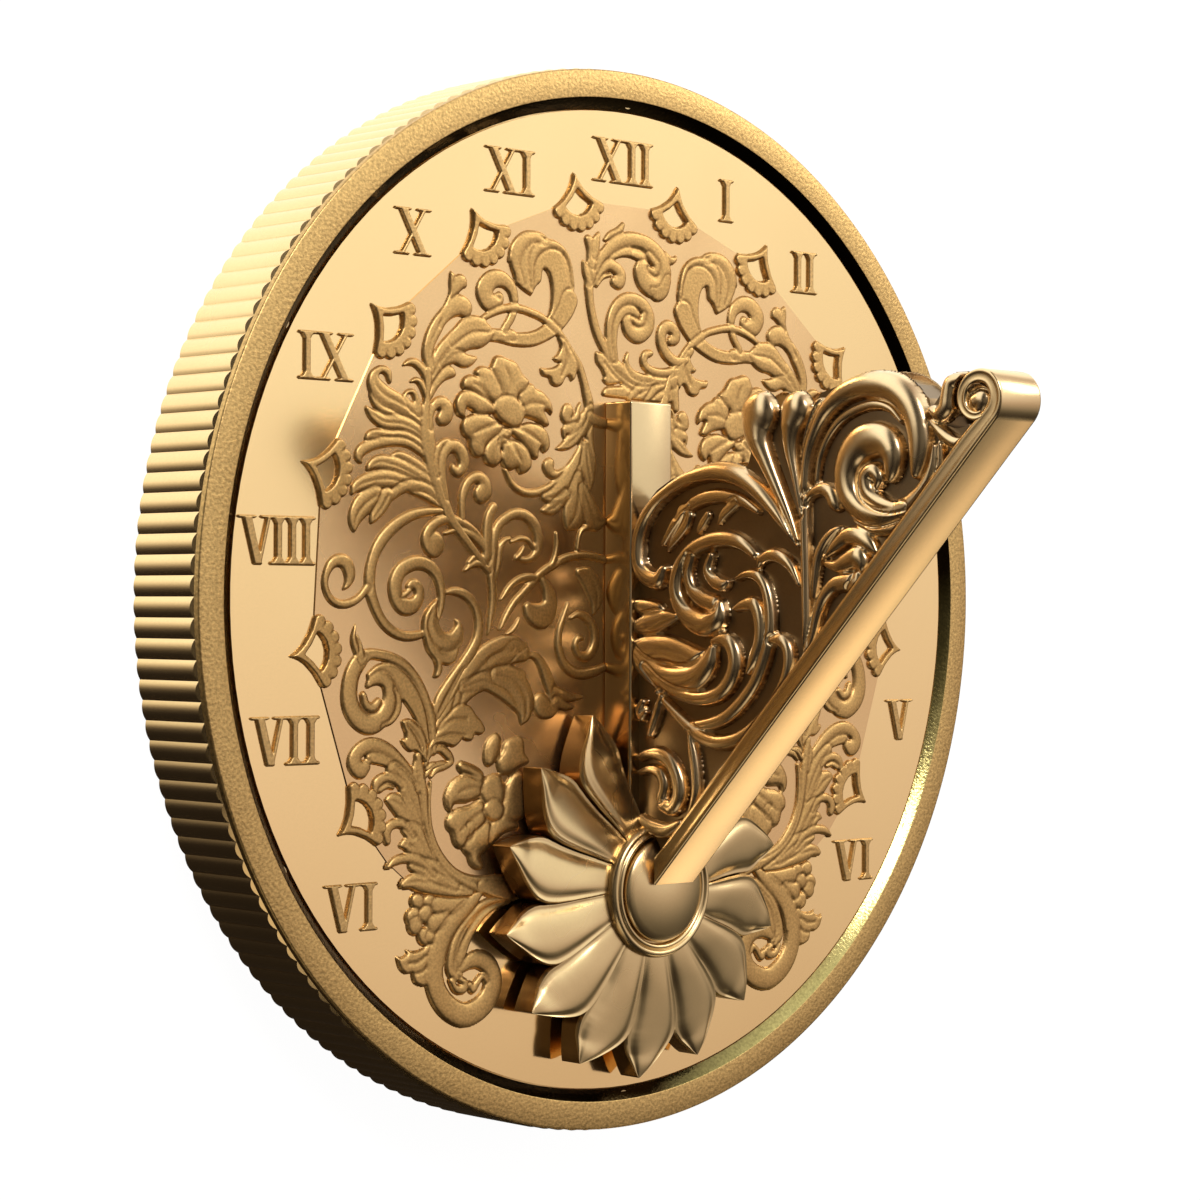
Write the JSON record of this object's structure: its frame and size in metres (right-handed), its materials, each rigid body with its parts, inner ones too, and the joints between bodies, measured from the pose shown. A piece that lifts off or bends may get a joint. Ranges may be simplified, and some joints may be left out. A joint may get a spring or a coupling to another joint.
{
  "type": "garden sundial",
  "caption": "Round bronze garden sundial with raised Roman hour numerals, scrollwork castings and a pierced scroll gnomon.",
  "frame": {"origin": "centre of the drum's flat back face", "axes": "+Z out of the dial, +Y towards the XII (noon line), +X towards the afternoon hours' side, east"},
  "size_m": [0.2508, 0.2508, 0.1406],
  "materials": {
    "drum_bronze": "brushed",
    "dial_bronze": "polished",
    "platform_bronze": "satin",
    "relief_bronze": "sandblasted",
    "gnomon_bronze": "polished",
    "flower_bronze": "satin",
    "fixings": "machined"
  },
  "bodies": {
    "root": {"back_bar": "gnomon_bronze", "base_drum": "drum_bronze", "chapter_platform": "platform_bronze", "crest_casting": "relief_bronze", "dial_plate": "dial_bronze", "east_acanthus_fan": "relief_bronze", "east_foot_scroll": "relief_bronze", "east_inner_scroll": "relief_bronze", "east_lower_leaf": "relief_bronze", "east_lower_rosette": "relief_bronze", "east_side_leaf": "relief_bronze", "east_side_scroll": "relief_bronze", "east_upper_rosette": "relief_bronze", "east_upper_scroll": "relief_bronze", "flower_dome": "flower_bronze", "flower_nut": "fixings", "flower_petals": "flower_bronze", "flower_ring": "flower_bronze", "flower_stem": "fixings", "gnomon_screws": "fixings", "gnomon_web": "gnomon_bronze", "half_hour_markers": "relief_bronze", "numeral_1": "relief_bronze", "numeral_10": "relief_bronze", "numeral_11": "relief_bronze", "numeral_12": "relief_bronze", "numeral_2": "relief_bronze", "numeral_3": "relief_bronze", "numeral_4": "relief_bronze", "numeral_5": "relief_bronze", "numeral_6_am": "relief_bronze", "numeral_6_pm": "relief_bronze", "numeral_7": "relief_bronze", "numeral_8": "relief_bronze", "numeral_9": "relief_bronze", "rim_ring": "drum_bronze", "rim_screws": "fixings", "scrollwork_east": "gnomon_bronze", "scrollwork_west": "gnomon_bronze", "style_bar": "gnomon_bronze", "tip_volute": "gnomon_bronze", "west_acanthus_fan": "relief_bronze", "west_foot_scroll": "relief_bronze", "west_inner_scroll": "relief_bronze", "west_lower_leaf": "relief_bronze", "west_lower_rosette": "relief_bronze", "west_side_leaf": "relief_bronze", "west_side_scroll": "relief_bronze", "west_upper_rosette": "relief_bronze", "west_upper_scroll": "relief_bronze"}
  },
  "joints": []
}
